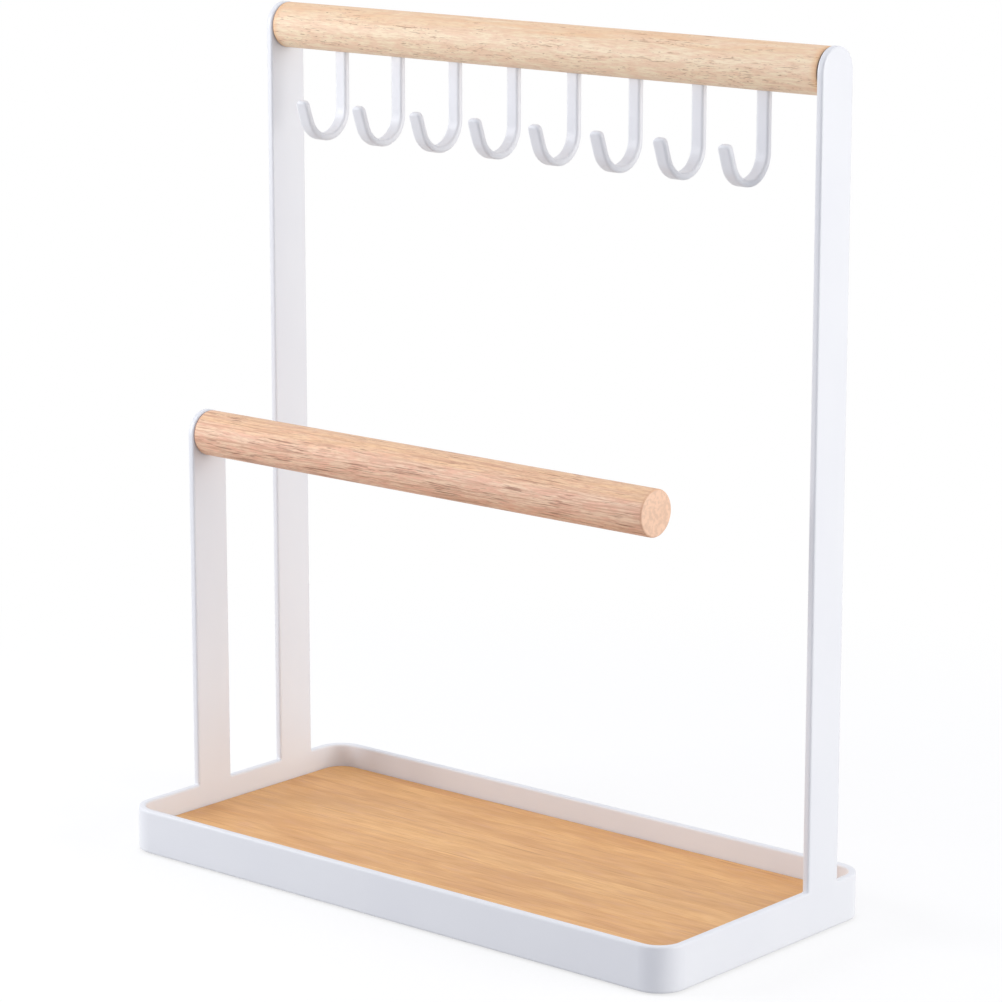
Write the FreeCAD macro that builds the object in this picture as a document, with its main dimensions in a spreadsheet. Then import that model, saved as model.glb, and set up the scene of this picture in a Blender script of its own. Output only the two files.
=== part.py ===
"""Jewellery stand: a steel tray with three flat uprights, two round wooden bars and eight hooks.

Frame of the part: X to the right along the tray's long side, Y to the back, Z up.  The origin is
on the surface that the stand rests on, under the middle of the tray.  Millimetres and degrees.
"""
import FreeCAD, Part
import math
import os

import Sketcher
from FreeCAD import Vector

# Name, value and meaning of every size that can be set by itself.
SIZES = [
    # Steel frame: one strip bent into a rim, with its three uprights in one piece with it
    ("tray_length", 230.5, "outside length of the rim, left to right"),
    ("tray_depth", 105.5, "outside depth of the rim, front to back"),
    ("rim_height", 14.8, "height of the rim strip"),
    ("rim_corner_radius", 10.0, "outside radius of the rim's upright corners"),
    ("strip_thickness", 2.4, "steel of the rim and the uprights, with its coat"),
    ("steel_edge_round", 0.5, "rounding of the coated steel edges"),
    ("stand_height", 280.0, "surface to the top of the two tall uprights"),
    ("short_height", 145.6, "surface to the top of the short upright"),
    ("upright_width", 15.6, "width of all three uprights"),
    ("tall_upright_y", 28.0, "centre line of the tall uprights, behind the middle"),
    ("short_upright_y", -12.6, "centre line of the short upright, in front of the middle"),
    ("inner_corner_radius", 0.4, "radius between an upright and the rim's top edge"),
    # Floor of the tray
    ("foot_proud", 0.6, "how far the foot pads stand below the rim"),
    ("plate_recess", 1.4, "underside of the bottom plate above the rim's lower edge"),
    ("plate_thickness", 1.0, "welded steel bottom plate"),
    ("board_thickness", 4.6, "bamboo board that lies on the bottom plate"),
    ("board_clearance", 0.3, "gap between the board and the rim, all round"),
    ("board_edge_bevel", 0.4, "bevel along the board's upper edge"),
    ("pad_diameter", 10.0, "round foot pads"),
    ("pad_inset", 15.0, "pad centre from the rim's outside faces"),
    ("pad_edge_round", 0.4, "rounding of a pad's lower edge"),
    # Round wooden bars
    ("bar_diameter", 15.3, "both wooden bars"),
    ("bar_end_round", 0.7, "eased edge at the ends of both bars"),
    ("top_bar_play", 0.4, "gap between the top bar's right end and its upright"),
    ("arm_length", 192.0, "side arm, from its upright to its free end"),
    # Hooks, bent from flat strip
    ("hook_count", 8, "hooks under the top bar"),
    ("hook_width", 4.8, "width of the hook strip"),
    ("hook_thickness", 2.2, "thickness of the hook strip"),
    ("hook_drop", 28.6, "underside of the top bar to the lowest point of a hook"),
    ("hook_bend_radius", 9.0, "bend of a hook, to the middle of the strip"),
    ("hook_lean", 19.0, "how far a hook's tip leans out from upright, in degrees"),
    ("hook_tip_length", 7.2, "straight tip beyond the bend"),
    ("hook_tip_round", 0.8, "round corners of the tip"),
    ("hook_edge_round", 0.35, "rounding of the hook strip's edges"),
    ("tang_length", 9.0, "straight end of a hook inside the top bar"),
    ("tang_clearance", 0.05, "gap between a tang and its slot, each side"),
    # Fixings at the ends of the bars
    ("screw_diameter", 4.0, "countersunk screws through the left uprights"),
    ("screw_length", 22.0, "whole length of a screw"),
    ("screw_head_diameter", 7.4, "countersunk head, with sides at 45 degrees"),
    ("screw_tip_bevel", 0.6, "bevel at the screw's point"),
    ("socket_width", 2.5, "hexagon socket, across its flats"),
    ("socket_depth", 1.2, "depth of the hexagon socket"),
    ("screw_hole_play", 0.1, "gap round a screw, in its upright"),
    ("thread_play", 0.05, "gap round a screw, in its insert"),
    ("insert_diameter", 7.0, "threaded insert, over its ribs"),
    ("insert_length", 12.0, "length of the insert"),
    ("insert_rib_depth", 0.5, "depth of the grooves between the insert's ribs"),
    ("insert_rib_count", 4, "ribs round the insert"),
    ("insert_play", 0.05, "gap between an insert and its bore"),
    ("bore_spare", 1.0, "depth of a bar's bore beyond what it holds"),
    ("peg_diameter", 4.0, "peg on the right upright that carries the top bar"),
    ("peg_length", 8.0, "length of the peg"),
    ("peg_play", 0.1, "gap between the peg and its bore"),
]

# Places that several sub-parts share, worked out from the sizes.
HALF_LENGTH = "Sizes.tray_length / 2"
HALF_DEPTH = "Sizes.tray_depth / 2"
LEFT_INSIDE = "-(Sizes.tray_length / 2 - Sizes.strip_thickness)"
RIM_TOP = "(Sizes.foot_proud + Sizes.rim_height)"
PLATE_BOTTOM = "(Sizes.foot_proud + Sizes.plate_recess)"
BOARD_BOTTOM = "(Sizes.foot_proud + Sizes.plate_recess + Sizes.plate_thickness)"
BAR_RADIUS = "Sizes.bar_diameter / 2"
TOP_BAR_Z = "(Sizes.stand_height - Sizes.upright_width / 2)"
SIDE_ARM_Z = "(Sizes.short_height - Sizes.upright_width / 2)"
SPAN = "(Sizes.tray_length - 2 * Sizes.strip_thickness)"
HOOK_PITCH = "((Sizes.tray_length - 2 * Sizes.strip_thickness) / (Sizes.hook_count + 1))"
SCREW_REACH = "(Sizes.screw_length - Sizes.strip_thickness + Sizes.bore_spare)"

START, END, CENTRE = range(1, 4)                 # point numbers of a sketch line or arc
LEVEL_AXIS, UPRIGHT_AXIS = range(-1, -3, -1)     # a sketch's own axes
ORIGIN_POINT = (LEVEL_AXIS, START)
SAME_PLACE = 0.01                                # places closer than this are one
SMOOTH_JOIN = math.cos(math.radians(45))         # a smaller turn between faces isn't a sharp edge

doc = FreeCAD.newDocument("jewellery_stand")
sheet = doc.addObject("Spreadsheet::Sheet", "Sizes")
for row, (alias, value, meaning) in enumerate(SIZES, start=1):
    sheet.set(f"A{row}", meaning)
    sheet.set(f"B{row}", str(value))
    sheet.setAlias(f"B{row}", alias)
doc.recompute()


def size(alias):
    """Return the number in the named cell."""
    return float(sheet.get(alias))


def new_body(name, x=None, y=None, z=None):
    """Make a sub-part whose origin is placed by up to three expressions."""
    body = doc.addObject("PartDesign::Body", name)
    body.Label = name
    for letter, expression in (("x", x), ("y", y), ("z", z)):
        if expression is not None:
            body.setExpression(f"Placement.Base.{letter}", expression)
    return body


def new_sketch(body, name, plane, offset=None):
    """Make a sketch on one of the body's origin planes, moved along its normal by an expression."""
    sketch = body.newObject("Sketcher::SketchObject", name)
    planes = [feature for feature in body.Origin.OriginFeatures if feature.Role == plane]
    sketch.AttachmentSupport = [(planes[0], "")]
    sketch.MapMode = "FlatFace"
    if offset is not None:
        sketch.setExpression("AttachmentOffset.Base.z", offset)
    return sketch


def bind(sketch, name, expression, kind, *where):
    """Add a named dimension to a sketch and tie it to an expression.  The last of where is its value."""
    index = sketch.addConstraint(Sketcher.Constraint(kind, *where))
    sketch.renameConstraint(index, name)
    sketch.setExpression(f"Constraints.{name}", expression)


def draw_circle(sketch, name, diameter, number, y=None, z=None):
    """Draw a circle; y and z are (expression, number) pairs from the sketch's origin."""
    across, up = y or (None, 0.0), z or (None, 0.0)
    circle = sketch.addGeometry(Part.Circle(Vector(across[1], up[1], 0), Vector(0, 0, 1), number / 2))
    bind(sketch, f"{name}_diameter", diameter, "Diameter", circle, number)
    if y is None and z is None:
        sketch.addConstraint(Sketcher.Constraint("Coincident", circle, CENTRE, *ORIGIN_POINT))
        return
    bind(sketch, f"{name}_across", across[0], "DistanceX", *ORIGIN_POINT, circle, CENTRE, across[1])
    bind(sketch, f"{name}_up", up[0], "DistanceY", *ORIGIN_POINT, circle, CENTRE, up[1])


def draw_loop(sketch, points):
    """Draw a closed loop of straight lines and return the number of its first line."""
    first = sketch.GeometryCount
    for start, end in zip(points, points[1:] + points[:1]):
        sketch.addGeometry(Part.LineSegment(Vector(*start, 0), Vector(*end, 0)))
    last = sketch.GeometryCount - 1
    for line in range(first, last):
        sketch.addConstraint(Sketcher.Constraint("Coincident", line, END, line + 1, START))
    sketch.addConstraint(Sketcher.Constraint("Coincident", last, END, first, START))
    return first


def draw_rounded_rectangle(sketch, name, inset, inset_number):
    """Draw the rim's outline, moved inwards by an inset, about the sketch's origin."""
    half_x = size("tray_length") / 2 - inset_number
    half_y = size("tray_depth") / 2 - inset_number
    radius = size("rim_corner_radius") - inset_number
    first = sketch.GeometryCount
    corners = [(1, -1), (1, 1), (-1, 1), (-1, -1)]
    lines = [
        ((-half_x + radius, -half_y), (half_x - radius, -half_y)),
        ((half_x, -half_y + radius), (half_x, half_y - radius)),
        ((half_x - radius, half_y), (-half_x + radius, half_y)),
        ((-half_x, half_y - radius), (-half_x, -half_y + radius)),
    ]
    for start, end in lines:
        sketch.addGeometry(Part.LineSegment(Vector(*start, 0), Vector(*end, 0)))
    quarter = math.pi / 2
    for turn, (side_x, side_y) in enumerate(corners, start=3):
        centre = Vector(side_x * (half_x - radius), side_y * (half_y - radius), 0)
        circle = Part.Circle(centre, Vector(0, 0, 1), radius)
        sketch.addGeometry(Part.ArcOfCircle(circle, turn * quarter, (turn + 1) * quarter))
    for side in range(4):
        line, arc, following = first + side, first + 4 + side, first + (side + 1) % 4
        sketch.addConstraint(Sketcher.Constraint("Tangent", line, END, arc, START))
        sketch.addConstraint(Sketcher.Constraint("Tangent", arc, END, following, START))
        direction = "Horizontal" if side % 2 == 0 else "Vertical"
        sketch.addConstraint(Sketcher.Constraint(direction, line))
        if side:
            sketch.addConstraint(Sketcher.Constraint("Equal", first + 4, arc))
    bind(sketch, f"{name}_radius", f"Sizes.rim_corner_radius - {inset}", "Radius", first + 4, radius)
    right, back, left, front = first + 1, first + 2, first + 3, first
    x_expression, y_expression = f"{HALF_LENGTH} - {inset}", f"{HALF_DEPTH} - {inset}"
    bind(sketch, f"{name}_right", x_expression, "DistanceX", *ORIGIN_POINT, right, START, half_x)
    bind(sketch, f"{name}_left", x_expression, "DistanceX", left, START, *ORIGIN_POINT, half_x)
    bind(sketch, f"{name}_back", y_expression, "DistanceY", *ORIGIN_POINT, back, START, half_y)
    bind(sketch, f"{name}_front", y_expression, "DistanceY", front, START, *ORIGIN_POINT, half_y)


def pad(body, name, sketch, length):
    """Extrude a sketch along its normal."""
    feature = body.newObject("PartDesign::Pad", name)
    feature.Profile = (sketch, [""])
    feature.Refine = True
    feature.setExpression("Length", length)
    sketch.Visibility = False
    return feature


def pocket(body, name, sketch, length, along_normal=False):
    """Cut a sketch's outline out of the body and make sure that material went."""
    doc.recompute()
    before = body.Shape.Volume
    feature = body.newObject("PartDesign::Pocket", name)
    feature.Profile = (sketch, [""])
    feature.Reversed = along_normal
    feature.setExpression("Length", length)
    doc.recompute()
    if not body.Shape.Volume < before:
        raise RuntimeError(f"{name} cut nothing out of {body.Label}")
    return feature


def revolve(body, name, sketch):
    """Turn a sketch a full turn about its horizontal axis."""
    feature = body.newObject("PartDesign::Revolution", name)
    feature.Profile = (sketch, [""])
    feature.ReferenceAxis = (sketch, ["H_Axis"])
    feature.Angle = 360
    return feature


def sharp_edges(shape):
    """Return the names of the edges where two faces meet at a clear angle."""
    names = []
    for number, edge in enumerate(shape.Edges, start=1):
        faces = shape.ancestorsOfType(edge, Part.Face)
        if len(faces) != 2:
            continue
        point = edge.valueAt((edge.FirstParameter + edge.LastParameter) / 2)
        normals = [face.normalAt(*face.Surface.parameter(point)) for face in faces]
        if abs(normals[0].dot(normals[1])) < SMOOTH_JOIN:
            names.append(f"Edge{number}")
    return names


def edges_where(shape, test):
    """Return the names of the sharp edges whose centre passes a test."""
    chosen = sharp_edges(shape)
    return [name for name in chosen if test(shape.getElement(name).CenterOfMass)]


def dress(body, kind, name, base, edges, cell):
    """Fillet or chamfer the named edges of a feature by the size in a cell."""
    feature = body.newObject(f"PartDesign::{kind}", name)
    feature.Base = (base, edges)
    feature.setExpression("Radius" if kind == "Fillet" else "Size", f"Sizes.{cell}")
    return feature


# ---------------------------------------------------------------- steel frame

def draw_upright(sketch, name, y_cell, height_cell):
    """Draw an upright: a flared foot inside the rim, straight sides and a half-round top."""
    middle, half = size(y_cell), size("upright_width") / 2
    flare, top = size("inner_corner_radius"), size(height_cell) - half
    rim_top = size("foot_proud") + size("rim_height")
    foot = rim_top - size("rim_height") / 2
    front, back = middle - half, middle + half
    normal = Vector(0, 0, 1)
    line = Part.LineSegment
    parts = [
        line(Vector(front - flare, rim_top, 0), Vector(front - flare, foot, 0)),
        line(Vector(front - flare, foot, 0), Vector(back + flare, foot, 0)),
        line(Vector(back + flare, foot, 0), Vector(back + flare, rim_top, 0)),
        line(Vector(back, rim_top + flare, 0), Vector(back, top, 0)),
        line(Vector(front, top, 0), Vector(front, rim_top + flare, 0)),
        Part.ArcOfCircle(Part.Circle(Vector(middle, top, 0), normal, half), 0, math.pi),
        Part.ArcOfCircle(Part.Circle(Vector(back + flare, rim_top + flare, 0), normal, flare),
                         math.pi, 1.5 * math.pi),
        Part.ArcOfCircle(Part.Circle(Vector(front - flare, rim_top + flare, 0), normal, flare),
                         1.5 * math.pi, 2 * math.pi),
    ]
    first = sketch.GeometryCount
    sketch.addGeometry(parts)
    names = ["front_foot", "sole", "back_foot", "back_side", "front_side", "crown",
             "back_flare", "front_flare"]
    part = {label: first + index for index, label in enumerate(names)}
    joints = [
        ("Coincident", "front_foot", END, "sole", START),
        ("Coincident", "sole", END, "back_foot", START),
        ("Coincident", "back_foot", END, "back_flare", END),
        ("Tangent", "back_flare", START, "back_side", START),
        ("Tangent", "back_side", END, "crown", START),
        ("Tangent", "crown", END, "front_side", START),
        ("Tangent", "front_side", END, "front_flare", END),
        ("Coincident", "front_flare", START, "front_foot", START),
    ]
    for kind, one, one_end, other, other_end in joints:
        sketch.addConstraint(Sketcher.Constraint(kind, part[one], one_end, part[other], other_end))
    for label in ("front_foot", "back_foot", "front_side", "back_side"):
        sketch.addConstraint(Sketcher.Constraint("Vertical", part[label]))
    sketch.addConstraint(Sketcher.Constraint("Horizontal", part["sole"]))
    sketch.addConstraint(Sketcher.Constraint("Equal", part["front_flare"], part["back_flare"]))
    for label in ("front", "back"):
        ends = (part[f"{label}_flare"], CENTRE, part[f"{label}_foot"], START if label == "front" else END)
        sketch.addConstraint(Sketcher.Constraint("Vertical", *ends))
    crown, sole = part["crown"], part["sole"]
    bind(sketch, f"{name}_crown", "Sizes.upright_width / 2", "Radius", crown, half)
    bind(sketch, f"{name}_flare", "Sizes.inner_corner_radius", "Radius", part["front_flare"], flare)
    bind(sketch, f"{name}_middle", f"Sizes.{y_cell}", "DistanceX", *ORIGIN_POINT, crown, CENTRE, middle)
    bind(sketch, f"{name}_top", f"Sizes.{height_cell} - Sizes.upright_width / 2",
         "DistanceY", *ORIGIN_POINT, crown, CENTRE, top)
    bind(sketch, f"{name}_sole", f"{RIM_TOP} - Sizes.rim_height / 2",
         "DistanceY", *ORIGIN_POINT, sole, START, foot)
    bind(sketch, f"{name}_rim", RIM_TOP, "DistanceY", *ORIGIN_POINT, part["back_foot"], END, rim_top)
    sketch.addConstraint(Sketcher.Constraint("Horizontal", part["back_foot"], END,
                                             part["front_foot"], START))


def make_frame():
    """Bend the rim, raise the uprights flush with it, ease the edges and drill for the screws."""
    body = new_body("frame")
    outline = new_sketch(body, "rim_outline", "XY_Plane", "Sizes.foot_proud")
    draw_rounded_rectangle(outline, "outside", "0", 0.0)
    draw_rounded_rectangle(outline, "inside", "Sizes.strip_thickness", size("strip_thickness"))
    last = pad(body, "rim", outline, "Sizes.rim_height")
    uprights = [
        ("tall_left", f"-{HALF_LENGTH}", "tall_upright_y", "stand_height"),
        ("tall_right", f"{HALF_LENGTH} - Sizes.strip_thickness", "tall_upright_y", "stand_height"),
        ("short_left", f"-{HALF_LENGTH}", "short_upright_y", "short_height"),
    ]
    for name, offset, y_cell, height_cell in uprights:
        profile = new_sketch(body, f"{name}_profile", "YZ_Plane", offset)
        draw_upright(profile, name, y_cell, height_cell)
        last = pad(body, name, profile, "Sizes.strip_thickness")
    doc.recompute()
    dress(body, "Fillet", "eased_edges", last, sharp_edges(last.Shape), "steel_edge_round")
    doc.recompute()

    holes = new_sketch(body, "screw_places", "YZ_Plane", f"-{HALF_LENGTH}")
    bar_y, bar_z = size("tall_upright_y"), size("stand_height") - size("upright_width") / 2
    arm_y, arm_z = size("short_upright_y"), size("short_height") - size("upright_width") / 2
    clear = "Sizes.screw_diameter + 2 * Sizes.screw_hole_play"
    clear_number = size("screw_diameter") + 2 * size("screw_hole_play")
    draw_circle(holes, "bar", clear, clear_number, ("Sizes.tall_upright_y", bar_y), (TOP_BAR_Z, bar_z))
    draw_circle(holes, "arm", clear, clear_number, ("Sizes.short_upright_y", arm_y), (SIDE_ARM_Z, arm_z))
    pocket(body, "screw_holes", holes, "Sizes.strip_thickness", along_normal=True)
    rims = edges_where(body.Shape, lambda point: point.x < -size("tray_length") / 2 + SAME_PLACE
                       and point.z > size("short_height") - size("upright_width"))
    countersink = dress(body, "Chamfer", "countersinks", body.Tip, rims, "screw_diameter")
    countersink.setExpression("Size", "(Sizes.screw_head_diameter - Sizes.screw_diameter) / 2")

    peg = new_sketch(body, "peg_outline", "YZ_Plane", f"{HALF_LENGTH} - Sizes.strip_thickness")
    draw_circle(peg, "peg", "Sizes.peg_diameter", size("peg_diameter"),
                ("Sizes.tall_upright_y", bar_y), (TOP_BAR_Z, bar_z))
    welded_peg = pad(body, "bar_peg", peg, "Sizes.peg_length")
    welded_peg.Reversed = True
    return body


def make_bottom_plate():
    """Lay the plain steel plate that is welded inside the rim."""
    body = new_body("bottom_plate", z=PLATE_BOTTOM)
    outline = new_sketch(body, "plate_outline", "XY_Plane")
    draw_rounded_rectangle(outline, "plate", "Sizes.strip_thickness", size("strip_thickness"))
    pad(body, "plate", outline, "Sizes.plate_thickness")
    return body


# ---------------------------------------------------------------- floor and feet

def make_base_board():
    """Lay the bamboo board on the plate, a little smaller than the rim's inside."""
    body = new_body("base_board", z=BOARD_BOTTOM)
    outline = new_sketch(body, "board_outline", "XY_Plane")
    inset = "(Sizes.strip_thickness + Sizes.board_clearance)"
    draw_rounded_rectangle(outline, "board", inset, size("strip_thickness") + size("board_clearance"))
    board = pad(body, "board", outline, "Sizes.board_thickness")
    doc.recompute()
    upper = edges_where(board.Shape, lambda point: point.z > size("board_thickness") - SAME_PLACE)
    dress(body, "Chamfer", "upper_bevel", board, upper, "board_edge_bevel")
    return body


def make_foot_pad(name, side_x, side_y):
    """Stick one round pad under the bottom plate, near a corner."""
    body = new_body(name, f"{side_x} * ({HALF_LENGTH} - Sizes.pad_inset)",
                    f"{side_y} * ({HALF_DEPTH} - Sizes.pad_inset)")
    outline = new_sketch(body, f"{name}_outline", "XY_Plane")
    draw_circle(outline, "pad", "Sizes.pad_diameter", size("pad_diameter"))
    disc = pad(body, f"{name}_disc", outline, PLATE_BOTTOM)
    doc.recompute()
    lower = edges_where(disc.Shape, lambda point: point.z < SAME_PLACE)
    dress(body, "Fillet", f"{name}_edge", disc, lower, "pad_edge_round")
    return body


# ---------------------------------------------------------------- wooden bars

def make_bar(name, length, y, z):
    """Turn a round bar with eased ends and a stepped bore at its left end for insert and screw."""
    body = new_body(name, LEFT_INSIDE, y, z)
    outline = new_sketch(body, f"{name}_outline", "YZ_Plane")
    draw_circle(outline, "bar", "Sizes.bar_diameter", size("bar_diameter"))
    stock = pad(body, f"{name}_stock", outline, length)
    doc.recompute()
    dress(body, "Fillet", f"{name}_ends", stock, sharp_edges(stock.Shape), "bar_end_round")
    seat = new_sketch(body, f"{name}_insert_seat", "YZ_Plane")
    draw_circle(seat, "seat", "Sizes.insert_diameter + 2 * Sizes.insert_play",
                size("insert_diameter") + 2 * size("insert_play"))
    pocket(body, f"{name}_insert_bore", seat, "Sizes.insert_length", along_normal=True)
    tip = new_sketch(body, f"{name}_screw_seat", "YZ_Plane")
    draw_circle(tip, "seat", "Sizes.screw_diameter + 2 * Sizes.screw_hole_play",
                size("screw_diameter") + 2 * size("screw_hole_play"))
    pocket(body, f"{name}_screw_bore", tip, SCREW_REACH, along_normal=True)
    return body


def make_top_bar():
    """Add the hook slots and the peg bore to the bar between the tall uprights."""
    length = f"{SPAN} - Sizes.top_bar_play"
    body = make_bar("top_bar", length, "Sizes.tall_upright_y", TOP_BAR_Z)
    peg_seat = new_sketch(body, "peg_seat", "YZ_Plane", length)
    draw_circle(peg_seat, "peg", "Sizes.peg_diameter + 2 * Sizes.peg_play",
                size("peg_diameter") + 2 * size("peg_play"))
    pocket(body, "peg_bore", peg_seat, "Sizes.peg_length + Sizes.bore_spare")

    slot = new_sketch(body, "slot_outline", "XY_Plane", f"Sizes.tang_length - {BAR_RADIUS}")
    pitch = (size("tray_length") - 2 * size("strip_thickness")) / (size("hook_count") + 1)
    long_half = size("hook_width") / 2 + size("tang_clearance")
    short_half = size("hook_thickness") / 2 + size("tang_clearance")
    corners = [(pitch - long_half, -short_half), (pitch + long_half, -short_half),
               (pitch + long_half, short_half), (pitch - long_half, short_half)]
    front = draw_loop(slot, corners)
    right, back, left = front + 1, front + 2, front + 3
    for kind, line in (("Horizontal", front), ("Vertical", right), ("Horizontal", back), ("Vertical", left)):
        slot.addConstraint(Sketcher.Constraint(kind, line))
    half_width = "(Sizes.hook_width / 2 + Sizes.tang_clearance)"
    half_thickness = "(Sizes.hook_thickness / 2 + Sizes.tang_clearance)"
    bind(slot, "near_end", f"{HOOK_PITCH} - {half_width}", "DistanceX",
         *ORIGIN_POINT, front, START, pitch - long_half)
    bind(slot, "far_end", f"{HOOK_PITCH} + {half_width}", "DistanceX",
         *ORIGIN_POINT, front, END, pitch + long_half)
    bind(slot, "front_side", half_thickness, "DistanceY", front, START, *ORIGIN_POINT, short_half)
    bind(slot, "back_side", half_thickness, "DistanceY", *ORIGIN_POINT, back, START, short_half)
    first_slot = pocket(body, "hook_slot", slot, "Sizes.bar_diameter")
    row = body.newObject("PartDesign::LinearPattern", "hook_slots")
    row.Originals = [first_slot]
    row.Direction = (slot, ["H_Axis"])
    row.setExpression("Length", f"{HOOK_PITCH} * (Sizes.hook_count - 1)")
    row.setExpression("Occurrences", "Sizes.hook_count")
    body.Tip = row
    return body


# ---------------------------------------------------------------- hooks

def make_hook(number):
    """Bend one hook from flat strip: tang in the bar, straight shank, round bend and leaning tip."""
    name = f"hook_{number}"
    body = new_body(name, f"{LEFT_INSIDE} + {number} * {HOOK_PITCH}", "Sizes.tall_upright_y", TOP_BAR_Z)
    tang_top = f"(Sizes.tang_length - {BAR_RADIUS})"
    bend_z = f"(Sizes.hook_bend_radius + Sizes.hook_thickness / 2 - Sizes.hook_drop - {BAR_RADIUS})"
    radius, lean = size("hook_bend_radius"), math.radians(size("hook_lean"))
    top_z = size("tang_length") - size("bar_diameter") / 2
    centre_z = radius + size("hook_thickness") / 2 - size("hook_drop") - size("bar_diameter") / 2
    bend_end = Vector(-radius - radius * math.cos(lean), centre_z - radius * math.sin(lean), 0)
    tip_end = bend_end + Vector(-math.sin(lean), math.cos(lean), 0) * size("hook_tip_length")

    route = new_sketch(body, f"{name}_route", "YZ_Plane")
    shank = route.addGeometry(Part.LineSegment(Vector(0, top_z, 0), Vector(0, centre_z, 0)))
    bend_circle = Part.Circle(Vector(-radius, centre_z, 0), Vector(0, 0, 1), radius)
    bend = route.addGeometry(Part.ArcOfCircle(bend_circle, math.pi + lean, 2 * math.pi))
    tip = route.addGeometry(Part.LineSegment(bend_end, tip_end))
    route.addConstraint(Sketcher.Constraint("Vertical", shank))
    route.addConstraint(Sketcher.Constraint("PointOnObject", shank, START, UPRIGHT_AXIS))
    route.addConstraint(Sketcher.Constraint("Tangent", shank, END, bend, END))
    route.addConstraint(Sketcher.Constraint("Tangent", bend, START, tip, START))
    bind(route, "tang_top", tang_top, "DistanceY", *ORIGIN_POINT, shank, START, top_z)
    bind(route, "bend_height", bend_z, "DistanceY", *ORIGIN_POINT, bend, CENTRE, centre_z)
    bind(route, "bend_radius", "Sizes.hook_bend_radius", "Radius", bend, radius)
    bind(route, "tip_length", "Sizes.hook_tip_length", "Distance", tip, size("hook_tip_length"))
    bind(route, "tip_angle", "90 + Sizes.hook_lean", "Angle", tip, math.pi / 2 + lean)

    section = new_sketch(body, f"{name}_section", "XY_Plane", tang_top)
    half_x, half_y = size("hook_width") / 2, size("hook_thickness") / 2
    front = draw_loop(section, [(-half_x, -half_y), (half_x, -half_y), (half_x, half_y), (-half_x, half_y)])
    right, back, left = front + 1, front + 2, front + 3
    for kind, line in (("Horizontal", front), ("Vertical", right), ("Horizontal", back), ("Vertical", left)):
        section.addConstraint(Sketcher.Constraint(kind, line))
    section.addConstraint(Sketcher.Constraint("Symmetric", front, START, back, START, *ORIGIN_POINT))
    bind(section, "width", "Sizes.hook_width", "Distance", front, 2 * half_x)
    bind(section, "thickness", "Sizes.hook_thickness", "Distance", right, 2 * half_y)

    strip = body.newObject("PartDesign::AdditivePipe", f"{name}_strip")
    strip.Profile = (section, [""])
    strip.Spine = (route, ["Edge1", "Edge2", "Edge3"])
    doc.recompute()
    end_point = strip.Shape.Placement.multVec(Vector(0, tip_end.x, tip_end.y))
    reach = size("hook_thickness") / 4
    corners = [f"Edge{index}" for index, edge in enumerate(strip.Shape.Edges, start=1)
               if abs(edge.Length - size("hook_thickness")) < SAME_PLACE
               and edge.CenterOfMass.distanceToPoint(end_point) < half_x + reach]
    rounded = dress(body, "Fillet", f"{name}_tip", strip, corners, "hook_tip_round")
    doc.recompute()
    dress(body, "Fillet", f"{name}_edges", rounded, sharp_edges(rounded.Shape), "hook_edge_round")
    return body


# ---------------------------------------------------------------- screws and inserts

def draw_hexagon(sketch, width, number):
    """Draw a hexagon about the sketch's origin, with two sides level."""
    radius = number / math.sqrt(3)
    corners = [(radius * math.cos(math.radians(60 * turn)), radius * math.sin(math.radians(60 * turn)))
               for turn in range(6)]
    first = draw_loop(sketch, corners)
    ring = sketch.addGeometry(Part.Circle(Vector(0, 0, 0), Vector(0, 0, 1), radius), True)
    sketch.addConstraint(Sketcher.Constraint("Coincident", ring, CENTRE, *ORIGIN_POINT))
    for line in range(first, first + 6):
        sketch.addConstraint(Sketcher.Constraint("PointOnObject", line, START, ring))
        if line > first:
            sketch.addConstraint(Sketcher.Constraint("Equal", first, line))
    sketch.addConstraint(Sketcher.Constraint("Horizontal", first + 1))
    bind(sketch, "corner_circle", f"{width} * 2 / sqrt(3)", "Diameter", ring, 2 * radius)


def make_screw(name, y, z):
    """Turn a countersunk screw and sink its hexagon socket."""
    body = new_body(name, f"-{HALF_LENGTH}", y, z)
    head, shank = size("screw_head_diameter") / 2, size("screw_diameter") / 2
    length, bevel = size("screw_length"), size("screw_tip_bevel")
    play = size("screw_hole_play")
    corners = [(play, 0), (play, head - play), (head - shank, shank), (length - bevel, shank),
               (length, shank - bevel), (length, 0)]
    profile = new_sketch(body, f"{name}_profile", "XZ_Plane")
    face = draw_loop(profile, corners)
    cone, side, point, end, axis = (face + step for step in range(1, 6))
    for kind, line in (("Vertical", face), ("Horizontal", side), ("Vertical", end), ("Horizontal", axis)):
        profile.addConstraint(Sketcher.Constraint(kind, line))
    head_radius = "Sizes.screw_head_diameter / 2"
    shank_radius = "Sizes.screw_diameter / 2"
    bind(profile, "sunk", "Sizes.screw_hole_play", "DistanceX", *ORIGIN_POINT, face, START, play)
    bind(profile, "axis_level", "0", "DistanceY", *ORIGIN_POINT, face, START, 0.0)
    bind(profile, "head", f"{head_radius} - Sizes.screw_hole_play", "DistanceY",
         *ORIGIN_POINT, face, END, head - play)
    bind(profile, "neck", f"{head_radius} - {shank_radius}", "DistanceX",
         *ORIGIN_POINT, side, START, head - shank)
    bind(profile, "shank", shank_radius, "DistanceY", *ORIGIN_POINT, side, START, shank)
    bind(profile, "length", "Sizes.screw_length", "DistanceX", *ORIGIN_POINT, end, START, length)
    bind(profile, "bevel_along", "Sizes.screw_tip_bevel", "DistanceX", point, START, point, END, bevel)
    bind(profile, "bevel_across", "Sizes.screw_tip_bevel", "DistanceY", point, END, point, START, bevel)
    revolve(body, f"{name}_blank", profile)
    socket = new_sketch(body, f"{name}_socket_outline", "YZ_Plane")
    draw_hexagon(socket, "Sizes.socket_width", size("socket_width"))
    pocket(body, f"{name}_socket", socket, "Sizes.socket_depth", along_normal=True)
    return body


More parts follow.
